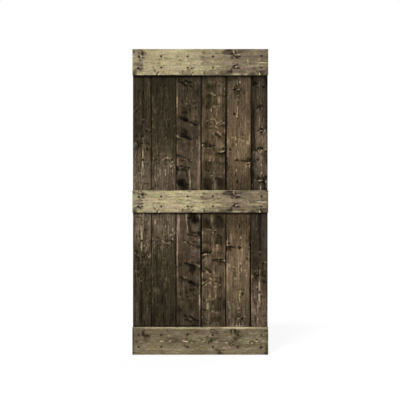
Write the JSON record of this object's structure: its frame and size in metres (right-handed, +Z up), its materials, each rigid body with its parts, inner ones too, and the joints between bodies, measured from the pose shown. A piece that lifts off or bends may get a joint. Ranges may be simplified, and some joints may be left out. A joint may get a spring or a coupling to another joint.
{
  "type": "sliding barn door",
  "caption": "Rustic sliding barn door slab of upright tongue-and-groove boards held by a top, a middle and a bottom rail with sunk screws.",
  "frame": {"origin": "on the door's bottom edge, in the middle of its width and of its whole thickness", "axes": "+Z up along the boards, +X to the right as seen from the front, +Y towards the plain back; the railed face looks to -Y"},
  "size_m": [0.948, 0.038, 2.1336],
  "materials": {
    "dark_stained_board": "matte",
    "pale_stained_rail": "matte",
    "grey_stained_rail": "matte",
    "black_screw": "satin"
  },
  "bodies": {
    "root": {"left_edge_board": "dark_stained_board", "board_2": "dark_stained_board", "board_3": "dark_stained_board", "board_4": "dark_stained_board", "board_5": "dark_stained_board", "right_edge_board": "dark_stained_board", "top_rail": "pale_stained_rail", "middle_rail": "pale_stained_rail", "bottom_rail": "grey_stained_rail", "top_rail_screws": "black_screw", "middle_rail_screws": "black_screw", "bottom_rail_screws": "black_screw"}
  },
  "joints": []
}
